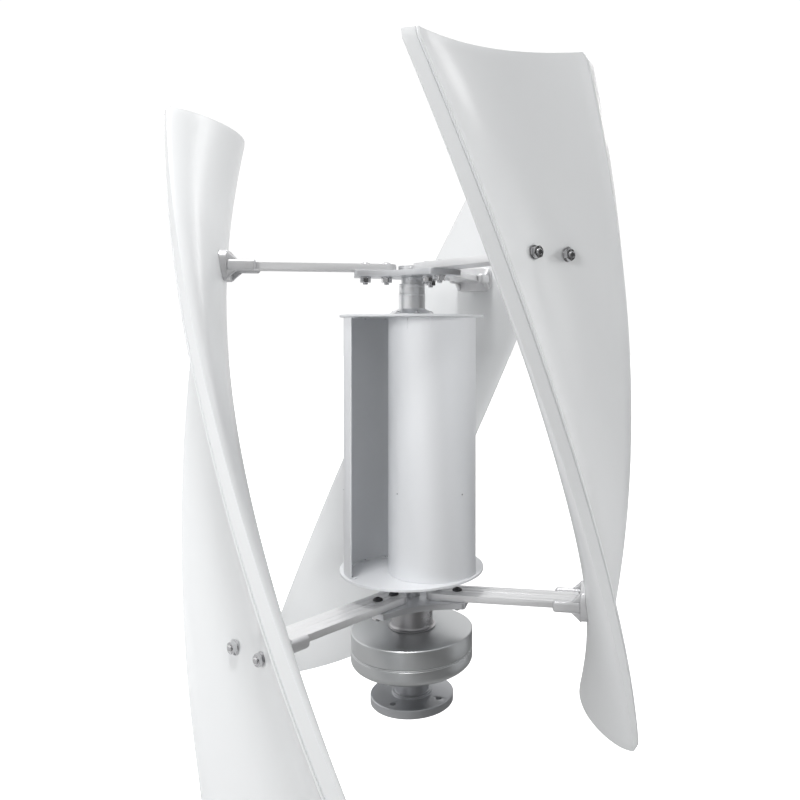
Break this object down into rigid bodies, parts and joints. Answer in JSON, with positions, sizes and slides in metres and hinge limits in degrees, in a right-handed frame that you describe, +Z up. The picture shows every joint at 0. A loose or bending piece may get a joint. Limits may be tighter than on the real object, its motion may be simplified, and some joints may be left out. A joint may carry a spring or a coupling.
{
  "type": "vertical axis turbine",
  "caption": "Vertical axis wind turbine with helical blades on arms around a scoop drag rotor, over a disc generator with a bolting base flange.",
  "frame": {"origin": "on the rotor's axis, on the underside of the base flange, which bolts to the top of a pole", "axes": "+Z up along the rotor's axis; -Y is the front, which shows the gap of one scoop vane; +X is to the right seen from the front"},
  "size_m": [0.8251, 0.8353, 1.1055],
  "materials": {
    "white_gelcoat": "smooth glossy white gelcoat over moulded fibreglass",
    "white_sheet": "white powder coat on thin sheet",
    "satin_flange": "turned satin steel",
    "turned_shell": "turned satin aluminium, clear coated",
    "machined_collar": "machined aluminium with fine turning marks",
    "bright_arm": "extruded aluminium, satin",
    "bright_plate": "bright machined and cast aluminium",
    "stainless": "bright stainless steel",
    "magnet": "nickel plated magnets on a steel ring",
    "coil_resin": "copper coils cast in resin",
    "seal_rubber": "matte black rubber"
  },
  "bodies": {
    "stand": {"base_flange": "satin_flange", "axle": "stainless", "dust_seal": "seal_rubber", "stator_disc": "coil_resin", "lower_bearing_inner_ring": "stainless", "upper_bearing_inner_ring": "stainless"},
    "rotor": {"lower_shell": "turned_shell", "upper_shell": "turned_shell", "lower_magnet_ring": "magnet", "upper_magnet_ring": "magnet", "lower_bearing_outer_ring": "stainless", "upper_bearing_outer_ring": "stainless", "generator_neck": "machined_collar", "lower_hub_plate": "bright_plate", "upper_hub_plate": "bright_plate", "main_shaft": "stainless", "lower_scoop_disc": "white_sheet", "upper_scoop_disc": "white_sheet", "scoop_vane_1": "white_sheet", "scoop_vane_2": "white_sheet", "scoop_vane_3": "white_sheet", "flanged_collar": "machined_collar", "lock_ring": "machined_collar", "shaft_spacer": "machined_collar", "top_boss": "machined_collar", "upper_arm_a": "bright_arm", "upper_bracket_a": "bright_plate", "upper_blade_stud_a_1": "stainless", "upper_blade_stud_a_2": "stainless", "lower_arm_a": "bright_arm", "lower_bracket_a": "bright_plate", "lower_blade_stud_a_1": "stainless", "lower_blade_stud_a_2": "stainless", "blade_a": "white_gelcoat", "upper_arm_b": "bright_arm", "upper_bracket_b": "bright_plate", "upper_blade_stud_b_1": "stainless", "upper_blade_stud_b_2": "stainless", "lower_arm_b": "bright_arm", "lower_bracket_b": "bright_plate", "lower_blade_stud_b_1": "stainless", "lower_blade_stud_b_2": "stainless", "blade_b": "white_gelcoat", "upper_arm_c": "bright_arm", "upper_bracket_c": "bright_plate", "upper_blade_stud_c_1": "stainless", "upper_blade_stud_c_2": "stainless", "lower_arm_c": "bright_arm", "lower_bracket_c": "bright_plate", "lower_blade_stud_c_1": "stainless", "lower_blade_stud_c_2": "stainless", "blade_c": "white_gelcoat"},
    "lower_cage": {"lower_bearing_cage": "stainless"},
    "upper_cage": {"upper_bearing_cage": "stainless"}
  },
  "joints": [
    {"name": "rotor_spin", "type": "hinge", "parent": "stand", "child": "rotor", "pos_m": [0, 0, 0.115], "axis": [0, 0, 1], "continuous": true},
    {"name": "lower_cage_spin", "type": "hinge", "parent": "stand", "child": "lower_cage", "pos_m": [0, 0, 0.0725], "axis": [0, 0, 1], "continuous": true},
    {"name": "upper_cage_spin", "type": "hinge", "parent": "stand", "child": "upper_cage", "pos_m": [0, 0, 0.1205], "axis": [0, 0, 1], "continuous": true}
  ],
  "couplings": [
    {"joint": "lower_cage_spin", "follows": "rotor_spin", "ratio": 0.5692},
    {"joint": "upper_cage_spin", "follows": "rotor_spin", "ratio": 0.5692}
  ]
}
